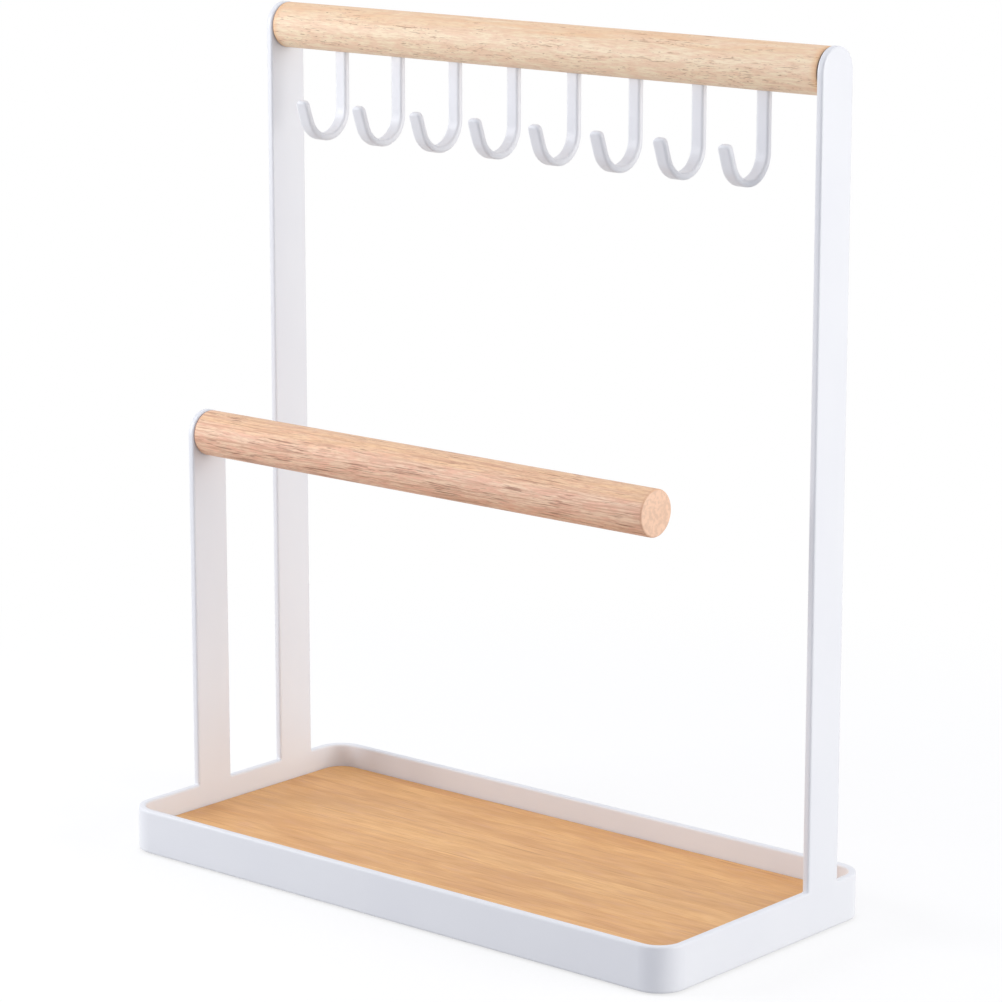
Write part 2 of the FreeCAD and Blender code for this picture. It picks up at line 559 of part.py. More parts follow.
def make_insert(name, y, z):
    """Turn a threaded insert with ribs that bite into the wood."""
    body = new_body(name, LEFT_INSIDE, y, z)
    outer = size("insert_diameter") / 2
    inner = size("screw_diameter") / 2 + size("thread_play")
    length = size("insert_length")
    profile = new_sketch(body, f"{name}_profile", "XZ_Plane")
    front = draw_loop(profile, [(0, inner), (0, outer), (length, outer), (length, inner)])
    side, back, bore = front + 1, front + 2, front + 3
    for kind, line in (("Vertical", front), ("Horizontal", side), ("Vertical", back), ("Horizontal", bore)):
        profile.addConstraint(Sketcher.Constraint(kind, line))
    bind(profile, "face", "0", "DistanceX", *ORIGIN_POINT, front, START, 0.0)
    bind(profile, "bore", "Sizes.screw_diameter / 2 + Sizes.thread_play", "DistanceY",
         *ORIGIN_POINT, front, START, inner)
    bind(profile, "outside", "Sizes.insert_diameter / 2", "DistanceY", *ORIGIN_POINT, front, END, outer)
    bind(profile, "length", "Sizes.insert_length", "DistanceX", front, END, side, END, length)
    revolve(body, f"{name}_sleeve", profile)

    count, depth = size("insert_rib_count"), size("insert_rib_depth")
    step = length / (2 * count - 1)
    notch = new_sketch(body, f"{name}_notch", "XZ_Plane")
    floor = draw_loop(notch, [(step, outer - depth), (2 * step, outer - depth),
                              (2 * step, outer + depth), (step, outer + depth)])
    right, roof, left = floor + 1, floor + 2, floor + 3
    for kind, line in (("Horizontal", floor), ("Vertical", right), ("Horizontal", roof), ("Vertical", left)):
        notch.addConstraint(Sketcher.Constraint(kind, line))
    rib_step = "Sizes.insert_length / (2 * Sizes.insert_rib_count - 1)"
    bind(notch, "start", rib_step, "DistanceX", *ORIGIN_POINT, floor, START, step)
    bind(notch, "width", rib_step, "DistanceX", floor, START, floor, END, step)
    bind(notch, "floor", "Sizes.insert_diameter / 2 - Sizes.insert_rib_depth", "DistanceY",
         *ORIGIN_POINT, floor, START, outer - depth)
    bind(notch, "roof", "Sizes.insert_diameter / 2 + Sizes.insert_rib_depth", "DistanceY",
         *ORIGIN_POINT, roof, START, outer + depth)
    doc.recompute()
    before = body.Shape.Volume
    groove = body.newObject("PartDesign::Groove", f"{name}_groove")
    groove.Profile = (notch, [""])
    groove.ReferenceAxis = (notch, ["H_Axis"])
    groove.Angle = 360
    doc.recompute()
    if not body.Shape.Volume < before:
        raise RuntimeError(f"the groove cut nothing out of {name}")
    row = body.newObject("PartDesign::LinearPattern", f"{name}_grooves")
    row.Originals = [groove]
    row.Direction = (notch, ["H_Axis"])
    row.setExpression("Length", f"2 * {rib_step} * (Sizes.insert_rib_count - 2)")
    row.setExpression("Occurrences", "Sizes.insert_rib_count - 1")
    body.Tip = row
    return body


# ---------------------------------------------------------------- assembly

bodies = [make_frame(), make_bottom_plate(), make_base_board()]
for corner_name, toward_x, toward_y in (("front_left", -1, -1), ("front_right", 1, -1),
                                        ("rear_left", -1, 1), ("rear_right", 1, 1)):
    bodies.append(make_foot_pad(f"foot_pad_{corner_name}", toward_x, toward_y))
bodies.append(make_top_bar())
bodies.append(make_bar("side_arm", "Sizes.arm_length", "Sizes.short_upright_y", SIDE_ARM_Z))
for hook_number in range(1, int(size("hook_count")) + 1):
    bodies.append(make_hook(hook_number))
for bar_name, bar_y, bar_z in (("top_bar", "Sizes.tall_upright_y", TOP_BAR_Z),
                               ("side_arm", "Sizes.short_upright_y", SIDE_ARM_Z)):
    bodies.append(make_screw(f"{bar_name}_screw", bar_y, bar_z))
    bodies.append(make_insert(f"{bar_name}_insert", bar_y, bar_z))

doc.recompute()
for item in doc.Objects:
    if "Invalid" in item.State or "Error" in item.State:
        raise RuntimeError(f"{item.Label} did not build: {item.State}")
os.makedirs("parts", exist_ok=True)
for body in bodies:
    if body.Shape.isNull() or not body.Shape.isValid() or len(body.Shape.Solids) != 1:
        raise RuntimeError(f"{body.Label} is not one valid solid")
    body.Shape.exportStep(os.path.join("parts", f"{body.Label}.step"))
    box = body.Shape.BoundBox
    print(f"{body.Label}: {body.Shape.Volume:.1f} mm3, X {box.XMin:.2f} to {box.XMax:.2f}, "
          f"Y {box.YMin:.2f} to {box.YMax:.2f}, Z {box.ZMin:.2f} to {box.ZMax:.2f}")
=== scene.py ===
"""Finishes of the jewellery stand: coated steel, turned wood, bamboo, rubber and the small fixings.

The stand's frame and plate keep the solids that they have and get their coat.  The hooks, the bars,
the board, the foot pads, the screws and the inserts are built here as detailed meshes in the same
places.  Lengths are in metres, and only the patterns inside the materials are laid out in millimetres.
"""

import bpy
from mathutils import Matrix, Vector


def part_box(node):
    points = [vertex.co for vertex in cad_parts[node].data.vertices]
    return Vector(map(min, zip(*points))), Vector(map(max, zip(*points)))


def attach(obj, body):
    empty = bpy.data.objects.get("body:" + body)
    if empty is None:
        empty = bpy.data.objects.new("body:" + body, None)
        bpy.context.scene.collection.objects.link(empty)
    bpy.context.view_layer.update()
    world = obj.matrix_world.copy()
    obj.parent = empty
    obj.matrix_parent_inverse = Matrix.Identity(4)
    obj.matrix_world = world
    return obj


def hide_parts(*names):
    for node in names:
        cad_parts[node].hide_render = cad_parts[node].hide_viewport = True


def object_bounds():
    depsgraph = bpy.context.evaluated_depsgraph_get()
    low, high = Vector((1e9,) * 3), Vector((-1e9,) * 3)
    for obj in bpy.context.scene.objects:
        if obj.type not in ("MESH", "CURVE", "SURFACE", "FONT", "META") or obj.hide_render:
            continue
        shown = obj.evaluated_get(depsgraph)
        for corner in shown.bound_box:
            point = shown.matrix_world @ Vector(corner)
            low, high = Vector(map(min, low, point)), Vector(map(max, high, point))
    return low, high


bl_info = {
    "name": "Jewellery Stand Finishes",
    "version": (1, 0, 0),
    "blender": (4, 5, 0),
    "location": "3D View > Sidebar > Stand",
    "description": "Builds and finishes the pieces of a jewellery stand with a tray, two bars and hooks",
    "category": "Object",
}

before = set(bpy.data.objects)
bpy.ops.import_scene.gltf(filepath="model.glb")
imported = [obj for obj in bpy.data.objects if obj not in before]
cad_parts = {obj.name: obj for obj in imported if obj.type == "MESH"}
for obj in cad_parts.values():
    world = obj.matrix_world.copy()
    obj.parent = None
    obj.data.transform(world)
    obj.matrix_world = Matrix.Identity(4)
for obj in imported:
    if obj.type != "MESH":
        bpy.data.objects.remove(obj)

import math

import bmesh
import bpy
from bpy.props import FloatProperty, FloatVectorProperty, IntProperty, PointerProperty
from mathutils import Matrix, Vector, noise

MM = 0.001
BODY = "root"
CRISP = 32.0    # degrees from which an edge stays crisp
PLAY = 0.05 * MM    # between a piece and the bore or slot that it sits in
PAST = 1.0 * MM    # how far a cutter reaches past what it cuts
BAR_SIDES = 112    # flat sides that make up a round bar
INSERT_SIDES = 64    # of an insert and its bore
PAD_SIDES = 64    # of a foot pad
SCREW_SIDES = 48    # of a screw and of the peg's bore
THREAD_ROWS = 8    # rows of points to one turn of a thread
NEARLY_ALL = 0.9995    # of a rounded tip's reach, so that a small flat end is left to close it
ROUND_SHARE = 0.85    # of a strip's half thickness that its rounding may take at most
WHITE = (1.0, 1.0, 1.0)
CAD_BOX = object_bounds()
HOOKS = sorted(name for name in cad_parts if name.startswith("hook_"))
PADS = sorted(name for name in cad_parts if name.startswith("foot_pad_"))


# ---------------------------------------------------------------- settings

def length(name, description, millimetres):
    """A length that a user can change, given here in millimetres."""
    return FloatProperty(name=name, description=description, default=millimetres * MM,
                         unit="LENGTH", subtype="DISTANCE", min=0.0, precision=5)


def share(name, description, value):
    """A share between nothing and all."""
    return FloatProperty(name=name, description=description, default=value,
                         min=0.0, max=1.0, subtype="FACTOR")


def tint(name, description, red, green, blue):
    """A colour in linear light."""
    return FloatVectorProperty(name=name, description=description, default=(red, green, blue),
                               size=3, min=0.0, max=1.0, subtype="COLOR")


def angle(name, description, degrees):
    """An angle, given here in degrees."""
    return FloatProperty(name=name, description=description, default=math.radians(degrees),
                         unit="ROTATION", subtype="ANGLE")


class CoatSettings(bpy.types.PropertyGroup):
    """White powder coat on the steel."""
    colour: tint("Coat", "Colour of the powder coat", 0.80, 0.81, 0.835)
    shaded: tint("Thin coat", "Colour where the coat lies a little thinner", 0.765, 0.775, 0.81)
    peel: length("Orange peel", "Width of the coat's soft waves", 1.1)
    peel_depth: length("Peel depth", "Depth of the soft waves", 0.005)
    speck: length("Speck", "Width of the fine grain in the coat", 0.22)
    speck_depth: length("Speck depth", "Depth of the fine grain", 0.002)
    soft_edge: length("Soft edge", "How far the coat softens the look of an edge", 1.15)


class TopBarSettings(bpy.types.PropertyGroup):
    """Pale wood of the bar between the tall uprights."""
    light: tint("Light wood", "Cream wood of the early year", 0.96, 0.79, 0.56)
    late: tint("Late wood", "Warmer wood of the late year", 0.86, 0.52, 0.27)
    dark: tint("Fibre", "Fibres and streaks", 0.76, 0.50, 0.32)
    flush: tint("Flush", "Pinkish patches in the wood", 0.91, 0.66, 0.465)
    pore: tint("Pore", "Brown pore lines", 0.38, 0.19, 0.10)
    end: tint("Soaked end", "Wood that drew in more oil near an end", 0.84, 0.47, 0.22)
    # Partly the wood's own darker end grain and partly painted shade: dark enough to stand in for the shadow
    # in the narrow gap where the right end meets its upright.
    end_face: tint("End grain", "Dark end grain at the joint", 0.12, 0.065, 0.04)
    soak: length("Soak", "How far the oil was drawn in from an end", 3.0)
    # Painted shade: width of the dark line painted where the left end meets its upright, standing in for the
    # shadow in the groove there.
    joint: length("Joint", "Width of the dark line where the left end meets its upright", 0.75)
    warmth: share("Warmth", "How clear the late wood is", 0.70)
    streaks: share("Streaks", "How clear the long streaks are", 0.30)
    grain: share("Grain", "How clear the short fibres are", 0.75)
    ring_pitch: length("Ring pitch", "From one growth ring to the next", 16.0)
    pore_length: length("Pore length", "Length of a pore line", 6.0)
    pore_width: length("Pore width", "Width of a pore line", 0.36)
    pore_share: share("Pores", "How much of the wood the pores take", 0.50)
    waviness: length("Waviness", "How far the sanded surface wanders from a true cylinder", 0.05)


class SideArmSettings(bpy.types.PropertyGroup):
    """Pinker wood of the arm on the short upright."""
    light: tint("Light wood", "Wood of the early year", 0.90, 0.635, 0.44)
    late: tint("Late wood", "Warmer wood of the late year", 0.93, 0.625, 0.35)
    dark: tint("Fibre", "Fibres and streaks", 0.62, 0.34, 0.22)
    flush: tint("Flush", "Warm patches in the wood", 0.86, 0.50, 0.345)
    pore: tint("Pore", "Brown pore lines", 0.34, 0.16, 0.10)
    end: tint("Soaked end", "Wood that drew in more oil near an end", 0.72, 0.42, 0.27)
    end_face: tint("End grain", "Smooth end grain", 0.86, 0.57, 0.40)
    soak: length("Soak", "How far the oil was drawn in from an end", 1.2)
    # Painted shade: width of the dark line painted where the left end meets its upright, standing in for the
    # shadow in the groove there.
    joint: length("Joint", "Width of the dark line where the left end meets its upright", 0.85)
    warmth: share("Warmth", "How clear the late wood is", 0.80)
    streaks: share("Streaks", "How clear the long streaks are", 1.0)
    grain: share("Grain", "How clear the short fibres are", 0.80)
    ring_pitch: length("Ring pitch", "From one growth ring to the next", 15.9)
    pore_length: length("Pore length", "Length of a pore line", 16.0)
    pore_width: length("Pore width", "Width of a pore line", 0.38)
    pore_share: share("Pores", "How much of the wood the pores take", 0.80)
    waviness: length("Waviness", "How far the sanded surface wanders from a true cylinder", 0.05)


class HookSettings(bpy.types.PropertyGroup):
    """Hooks bent from flat strip."""
    thickness: length("Thickness", "Thickness of the strip, with its coat", 2.2)
    bend: length("Bend", "Radius of the bend, to the middle of the strip", 9.0)
    lean: angle("Lean", "How far the tip leans out from upright", 19.0)
    tip: length("Tip", "Straight tip beyond the bend", 7.2)
    tip_round: length("Tip rounding", "Radius of the tip's corners", 1.7)
    edge_round: length("Edge rounding", "Rounding of the strip's coated edges", 0.7)


class BoardSettings(bpy.types.PropertyGroup):
    """Bamboo board, glued up from strips."""
    light: tint("Light strip", "Lightest bamboo", 0.88, 0.51, 0.20)
    dark: tint("Dark strip", "Darkest bamboo", 0.64, 0.31, 0.11)
    blush: tint("Blush", "Pinkish patches", 0.72, 0.38, 0.19)
    fibre: tint("Fibre", "Brown fibre lines", 0.40, 0.14, 0.04)
    strip_width: length("Strip width", "Width of one strip", 12.5)
    joint_width: length("Joint width", "Width of the fine groove at a glued joint", 0.16)
    joint_depth: length("Joint depth", "Depth of that groove", 0.05)
    bevel: length("Bevel", "Bevel along the upper edge", 0.4)
    corner: length("Corner", "Radius of the board's corners", 7.3)


class FootSettings(bpy.types.PropertyGroup):
    """Moulded rubber pads."""
    colour: tint("Rubber", "Colour of the pads", 0.62, 0.62, 0.59)
    ring_pitch: length("Ring pitch", "From one grip ring to the next", 1.0)
    ring_depth: length("Ring depth", "Depth of the grooves between the grip rings", 0.2)
    edge: length("Edge", "Rounding of the lower edge", 0.4)


class FixingSettings(bpy.types.PropertyGroup):
    """Screws and threaded inserts."""
    steel: tint("Steel", "Bright zinc plate", 0.62, 0.63, 0.64)
    brass: tint("Brass", "Turned brass", 0.78, 0.55, 0.24)
    screw: length("Screw", "Diameter over the thread", 4.0)
    core: length("Core", "Diameter under the thread", 3.3)
    pitch: length("Thread pitch", "From one thread to the next", 0.7)
    head: length("Head", "Diameter of the countersunk head", 7.2)
    neck: length("Neck", "Plain shank between the head and the thread", 1.2)
    socket: length("Socket", "Hexagon socket across its flats", 2.5)
    socket_depth: length("Socket depth", "Depth of the socket", 1.2)
    rib_depth: length("Rib depth", "Depth of the grooves between the insert's ribs", 0.5)
    ribs: IntProperty(name="Ribs", description="Ribs round an insert", default=4, min=2)


class StageSettings(bpy.types.PropertyGroup):
    """Camera, floor and lamps."""
    camera_place: FloatVectorProperty(name="Camera", description="Where the camera stands",
                                      default=(0.7933, -0.9230, 0.3989), size=3, unit="LENGTH")
    azimuth: angle("Azimuth", "Turn of the camera round the stand", 40.47)
    elevation: angle("Elevation", "Tilt of the camera above the level", 12.54)
    lens: FloatProperty(name="Lens", description="Focal length for a 36 mm wide picture, in millimetres",
                        default=139.05, min=1.0)
    floor_reach: FloatProperty(name="Floor", description="Half the width of the floor",
                               default=6.0, unit="LENGTH")
    shadow: share("Shadow", "How much of the stand's shadow the white floor keeps", 0.28)
    shadow_reach: length("Shadow reach", "How far from the stand's middle the floor keeps shadow", 420.0)
    bounce: share("Bounce", "How much of its light the floor throws back at the stand", 0.57)
    ambient: tint("Ambient", "Light from all round", 0.552, 0.563, 0.627)
    key_level: share("Key", "Light from the right, as a white surface facing it shows it", 0.62)
    key_colour: tint("Key colour", "Colour of the light from the right", 1.0, 0.985, 0.945)
    fill_level: share("Fill", "Light from the front left", 0.57)
    top_level: share("Top", "Light from above", 0.22)


class StandSettings(bpy.types.PropertyGroup):
    """All settings of the stand."""
    coat: PointerProperty(type=CoatSettings)
    top_bar: PointerProperty(type=TopBarSettings)
    side_arm: PointerProperty(type=SideArmSettings)
    hooks: PointerProperty(type=HookSettings)
    board: PointerProperty(type=BoardSettings)
    feet: PointerProperty(type=FootSettings)
    fixings: PointerProperty(type=FixingSettings)
    stage: PointerProperty(type=StageSettings)


# ---------------------------------------------------------------- material nodes

class Finish:
    """One material in the making.  Its methods add a node, or a few, and return the last one's output."""

    def __init__(self, name):
        self.material = bpy.data.materials.new(name)
        self.material.use_nodes = True
        self.tree = self.material.node_tree
        self.surface = self.tree.nodes["Principled BSDF"]

    def add(self, kind, inputs, output=0, **settings):
        """Add a node, set it up and fill its inputs with numbers, colours or other nodes' outputs."""
        node = self.tree.nodes.new(kind)
        for key, value in settings.items():
            setattr(node, key, value)
        for key, value in inputs.items():
            self.fill(node.inputs[key], value)
        return node.outputs[output]

    def fill(self, socket, value):
        """Link an output to the socket, or set the socket's own value."""
        if isinstance(value, bpy.types.NodeSocket):
            self.tree.links.new(value, socket)
        elif socket.type == "RGBA":
            socket.default_value = (*value, 1.0)
        else:
            socket.default_value = value

    def place(self):
        """The point on the piece, in millimetres."""
        return self.scaled(self.add("ShaderNodeTexCoord", {}, "Object"), 1 / MM)

    def scaled(self, vector, factor):
        """A vector times a number."""
        return self.add("ShaderNodeVectorMath", {0: vector, "Scale": factor}, operation="SCALE")

    def stretched(self, vector, along, across, up):
        """A vector divided by three lengths in millimetres, so that a pattern takes those lengths."""
        return self.add("ShaderNodeVectorMath", {0: vector, 1: (along, across, up)}, operation="DIVIDE")

    def moved(self, vector, by):
        """The sum of two vectors."""
        return self.add("ShaderNodeVectorMath", {0: vector, 1: by}, operation="ADD")

    def turned(self, vector, about_y, about_z):
        """A vector turned a little about Y and Z, in degrees."""
        turn = (0.0, math.radians(about_y), math.radians(about_z))
        return self.add("ShaderNodeMapping", {"Vector": vector, "Rotation": turn}, vector_type="POINT")

    def math(self, operation, first, second=0.0):
        """One sum of plain numbers."""
        return self.add("ShaderNodeMath", {0: first, 1: second}, operation=operation)

    def part(self, vector, index):
        """One coordinate of a vector."""
        return self.add("ShaderNodeSeparateXYZ", {0: vector}, index)

    def noise(self, vector, detail=2.0, roughness=0.5, colour=False):
        """Soft random pattern whose patches are about one unit wide."""
        inputs = {"Vector": vector, "Scale": 1.0, "Detail": detail, "Roughness": roughness}
        return self.add("ShaderNodeTexNoise", inputs, "Color" if colour else "Fac")

    def drift(self, vector, lengths, reach):
        """A soft wandering to either side, which keeps fibres from lying dead straight."""
        pattern = self.noise(self.stretched(vector, *lengths), colour=True)
        return self.scaled(self.moved(pattern, (-0.5, -0.5, -0.5)), reach)

    def band(self, value, low, high, to_low=0.0, to_high=1.0):
        """Carry the numbers between low and high over to another range, smoothly."""
        inputs = {"Value": value, "From Min": low, "From Max": high, "To Min": to_low, "To Max": to_high}
        return self.add("ShaderNodeMapRange", inputs, interpolation_type="SMOOTHSTEP")

    def mixed(self, factor, first, second):
        """A blend of two colours, by the node's colour sockets."""
        return self.add("ShaderNodeMix", {0: factor, 6: first, 7: second}, 2, data_type="RGBA")

    def bumped(self, height, depth, below=None):
        """Relief of a given depth in metres, over other relief if there is any."""
        inputs = {"Height": height, "Distance": depth, "Strength": 1.0}
        if below is not None:
            inputs["Normal"] = below
        return self.add("ShaderNodeBump", inputs)

    def finished(self, colour, roughness, normal, plain=None):
        """Join colour, roughness and relief to the surface, and set what is the same all over it."""
        inputs = {"Base Color": colour, "Roughness": roughness, "Normal": normal, **(plain or {})}
        for key, value in inputs.items():
            self.fill(self.surface.inputs[key], value)
        return self.material


def powder_coat(settings):
    """Satin white powder coat: soft orange peel, fine grain and slow changes of tone."""
    finish = Finish("powder_coat")
    place = finish.place()
    peel = finish.noise(finish.scaled(place, MM / settings.peel), detail=1.0)
    speck = finish.noise(finish.scaled(place, MM / settings.speck), detail=1.0)
    patches = finish.noise(finish.stretched(place, 38.0, 30.0, 44.0))
    grainy = finish.math("MULTIPLY", speck, 0.18)
    thin = finish.math("ADD", finish.band(patches, 0.35, 0.75, 0.0, 0.55), grainy)
    colour = finish.mixed(thin, settings.colour, settings.shaded)
    soft = finish.add("ShaderNodeBevel", {"Radius": settings.soft_edge}, samples=6)
    relief = finish.bumped(peel, settings.peel_depth, soft)
    relief = finish.bumped(speck, settings.speck_depth, relief)
    return finish.finished(colour, finish.band(peel, 0.3, 0.7, 0.33, 0.39), relief)


def steel_coat(stand):
    """The powder coat, made once for all steel pieces."""
    return bpy.data.materials.get("powder_coat") or powder_coat(stand.coat)


def wood_rings(finish, bent, pith, pitch):
    """Growth rings round the pith: where in its year a point lies, and how much late wood it has."""
    across = finish.moved(bent, (0.0, *pith))
    across = finish.add("ShaderNodeVectorMath", {0: across, 1: (0.0, 1.0, 1.0)}, operation="MULTIPLY")
    radius = finish.add("ShaderNodeVectorMath", {0: across}, "Value", operation="LENGTH")
    year = finish.math("PINGPONG", finish.math("DIVIDE", radius, pitch / MM), 1.0)
    uneven = finish.noise(finish.stretched(bent, 26.0, 1.7, 1.7), detail=3.0)
    late = finish.band(finish.math("ADD", year, finish.math("MULTIPLY", uneven, 0.8)), 1.02, 1.50)
    return year, late


def wood_pores(finish, bent, year, settings):
    """Long pore lines and short ticks, which crowd together in some stretches and in early wood."""
    long_way, width = settings.pore_length / MM, settings.pore_width / MM
    pores = finish.noise(finish.stretched(bent, long_way, width, width), detail=1.0)
    ticks = finish.noise(finish.stretched(bent, long_way * 0.32, width * 0.8, width * 0.8), detail=1.0)
    crowd = finish.noise(finish.stretched(bent, 18.0, 2.2, 2.2), detail=1.0)
    crowd = finish.math("SUBTRACT", crowd, finish.math("MULTIPLY", year, 0.14))
    edge = finish.band(crowd, 0.26, 0.56, 0.80, 0.73 - settings.pore_share * 0.16)
    pore = finish.band(finish.math("SUBTRACT", pores, edge), -0.03, 0.06)
    tick = finish.band(finish.math("SUBTRACT", ticks, edge), -0.04, 0.05)
    return pore, tick


def wood_ends(finish, colour, place, half, facing, flush, settings):
    """A bar's colour with its soaked ends, its end grain (on the top bar dark enough to be partly painted
    shade) and a painted shade line where its left end meets its upright.
    """
    along = finish.part(place, 0)
    soaked = finish.band(finish.math("ABSOLUTE", along), half - settings.soak / MM, half - 0.3)
    colour = finish.mixed(finish.math("MULTIPLY", soaked, 0.55), colour, settings.end)
    # The end faces take the end-grain colour; on the top bar it is so dark that it is partly painted shade
    # for the gap at its right end.
    duller = [channel * 0.86 for channel in settings.end_face]
    cut = finish.mixed(finish.band(flush, 0.40, 0.62), settings.end_face, duller)
    end_face = finish.band(facing, 0.72, 0.97)
    colour = finish.mixed(finish.math("MULTIPLY", end_face, soaked), colour, cut)
    # Painted shade: a dark line in the pore colour over the last part of the left end, standing in for the
    # shadow in the groove where the bar meets its upright.
    leftward = finish.math("MULTIPLY", along, -1.0)
    joint = settings.joint / MM
    shaded = finish.band(leftward, half - joint, half - 0.4 * joint, 0.0, 0.85)
    return finish.mixed(shaded, colour, settings.pore)


def turned_wood(name, node, settings, pith, runout):
    """Sanded, thinly oiled wood whose rings, pores and end grain all come from one solid pattern."""
    finish = Finish(name)
    centre = middle(node) / MM
    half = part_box(node)[1].x / MM - centre.x
    place = finish.moved(finish.place(), tuple(-centre))
    bent = finish.moved(finish.turned(place, *runout), finish.drift(place, (60.0, 9.0, 9.0), 3.0))
    facing = finish.math("ABSOLUTE", finish.part(finish.add("ShaderNodeTexCoord", {}, "Normal"), 0))
    side = finish.math("SUBTRACT", 1.0, finish.math("MULTIPLY", finish.band(facing, 0.5, 0.95), 0.85))

    year, late = wood_rings(finish, bent, pith, settings.ring_pitch)
    pore, tick = wood_pores(finish, bent, year, settings)
    fibre = finish.noise(finish.stretched(bent, 3.4, 0.36, 0.36), detail=3.0, roughness=0.6)
    streak = finish.noise(finish.stretched(bent, 26.0, 0.55, 0.55), detail=2.0)
    flush = finish.noise(finish.stretched(bent, 6.5, 1.5, 1.5), detail=3.0)

    colour = finish.mixed(finish.band(flush, 0.38, 0.64), settings.light, settings.flush)
    colour = finish.mixed(finish.math("MULTIPLY", late, settings.warmth), colour, settings.late)
    streaky = finish.math("MULTIPLY", finish.band(streak, 0.42, 0.78, 0.0, settings.streaks), side)
    colour = finish.mixed(streaky, colour, settings.dark)
    colour = finish.mixed(finish.band(fibre, 0.38, 0.80, 0.0, settings.grain), colour, settings.dark)
    lines = finish.math("MAXIMUM", finish.math("MULTIPLY", pore, 0.78), finish.math("MULTIPLY", tick, 0.60))
    colour = finish.mixed(finish.math("MULTIPLY", lines, side), colour, settings.pore)
    colour = wood_ends(finish, colour, place, half, facing, flush, settings)
    height = finish.math("SUBTRACT", finish.math("MULTIPLY", fibre, 0.35), pore)
    relief = finish.bumped(height, 0.03 * MM)
    open_pore = finish.math("MULTIPLY", pore, 0.15)
    roughness = finish.math("ADD", finish.band(fibre, 0.3, 0.7, 0.46, 0.58), open_pore)
    return finish.finished(colour, roughness, relief)


def bamboo(settings, first_joint):
    """Sanded bamboo: strips of different tone, long fibre lines and a thin satin lacquer."""
    finish = Finish("bamboo_strips")
    place = finish.place()
    across = finish.math("SUBTRACT", finish.part(place, 1), first_joint / MM)
    strip = finish.math("FLOOR", finish.math("DIVIDE", across, settings.strip_width / MM))
    draw = finish.add("ShaderNodeTexWhiteNoise", {"W": strip}, "Value", noise_dimensions="1D")
    shift = finish.add("ShaderNodeCombineXYZ", {0: finish.math("MULTIPLY", draw, 400.0), 1: 0.0, 2: 0.0})
    local = finish.moved(place, shift)
    bent = finish.moved(local, finish.drift(local, (55.0, 14.0, 6.0), 1.8))

    fibre = finish.noise(finish.stretched(bent, 11.0, 0.40, 0.5), detail=3.0, roughness=0.62)
    bundle = finish.noise(finish.stretched(bent, 30.0, 0.60, 0.8), detail=1.0)
    cloud = finish.noise(finish.stretched(bent, 36.0, 6.5, 8.0), detail=3.0, roughness=0.6)
    blush = finish.noise(finish.stretched(bent, 13.0, 2.4, 4.0), detail=2.0)
    tone = finish.math("ADD", finish.math("MULTIPLY", draw, 0.30), finish.band(cloud, 0.32, 0.68, 0.0, 0.56))
    line = finish.band(bundle, 0.62, 0.78)

    colour = finish.mixed(tone, settings.light, settings.dark)
    colour = finish.mixed(finish.band(blush, 0.50, 0.72, 0.0, 0.55), colour, settings.blush)
    colour = finish.mixed(finish.band(fibre, 0.42, 0.76, 0.0, 0.76), colour, settings.dark)
    colour = finish.mixed(finish.math("MULTIPLY", line, 0.48), colour, settings.fibre)
    relief = finish.bumped(finish.math("SUBTRACT", fibre, finish.math("MULTIPLY", line, 0.6)), 0.02 * MM)
    roughness = finish.band(fibre, 0.3, 0.7, 0.36, 0.46)
    return finish.finished(colour, roughness, relief, {"Specular IOR Level": 0.3})


def moulded_rubber(settings):
    """Dull milky rubber with the fine grain of its mould."""
    finish = Finish("moulded_rubber")
    place = finish.place()
    grain = finish.noise(finish.scaled(place, 1 / 0.16), detail=2.0)
    bloom = finish.noise(finish.scaled(place, 1 / 2.6), detail=2.0)
    lighter = [min(1.0, channel * 1.12) for channel in settings.colour]
    colour = finish.mixed(finish.band(bloom, 0.40, 0.72, 0.0, 0.6), settings.colour, lighter)
    relief = finish.bumped(grain, 0.02 * MM)
    return finish.finished(colour, finish.band(grain, 0.3, 0.7, 0.62, 0.80), relief)


def turned_metal(name, colour, roughness):
    """Bright metal with fine rings left by the lathe."""
    finish = Finish(name)
    place = finish.place()
    rings = finish.noise(finish.stretched(place, 0.09, 2.0, 2.0), detail=2.0)
    stain = finish.noise(finish.scaled(place, 1 / 1.8), detail=3.0)
    duller = [channel * 0.82 for channel in colour]
    shade = finish.mixed(finish.band(stain, 0.38, 0.70, 0.0, 0.7), colour, duller)
    relief = finish.bumped(rings, 0.004 * MM)
    dulled = finish.band(stain, 0.3, 0.7, roughness, roughness + 0.16)
    return finish.finished(shade, dulled, relief, {"Metallic": 1.0})


# ---------------------------------------------------------------- mesh building

def ring(x, y, z, radius, count):
    """A ring of points round an axis along X.  Radius is a length or a function of the angle."""
    points = []
    for step in range(count):
        turn = math.tau * step / count
        reach = radius(turn) if callable(radius) else radius
        points.append(Vector((x, y + reach * math.cos(turn), z + reach * math.sin(turn))))
    return points


def skinned(rings, looped=False):
    """Skin rows of points with faces; the ends are closed unless the last row joins the first."""
    mesh = bmesh.new()
    rows = [[mesh.verts.new(point) for point in row] for row in rings]
    pairs = list(zip(rows, rows[1:]))
    if looped:
        pairs.append((rows[-1], rows[0]))
    else:
        mesh.faces.new(rows[0])
        mesh.faces.new(rows[-1])
    for near, far in pairs:
        for index in range(len(near)):
            mesh.faces.new((near[index - 1], near[index], far[index], far[index - 1]))
    bmesh.ops.recalc_face_normals(mesh, faces=mesh.faces)
    return mesh


def join(mesh, other):
    """Add another bmesh's faces to a bmesh."""
    data = bpy.data.meshes.new("joined")
    other.to_mesh(data)
    other.free()
    mesh.from_mesh(data)
    bpy.data.meshes.remove(data)


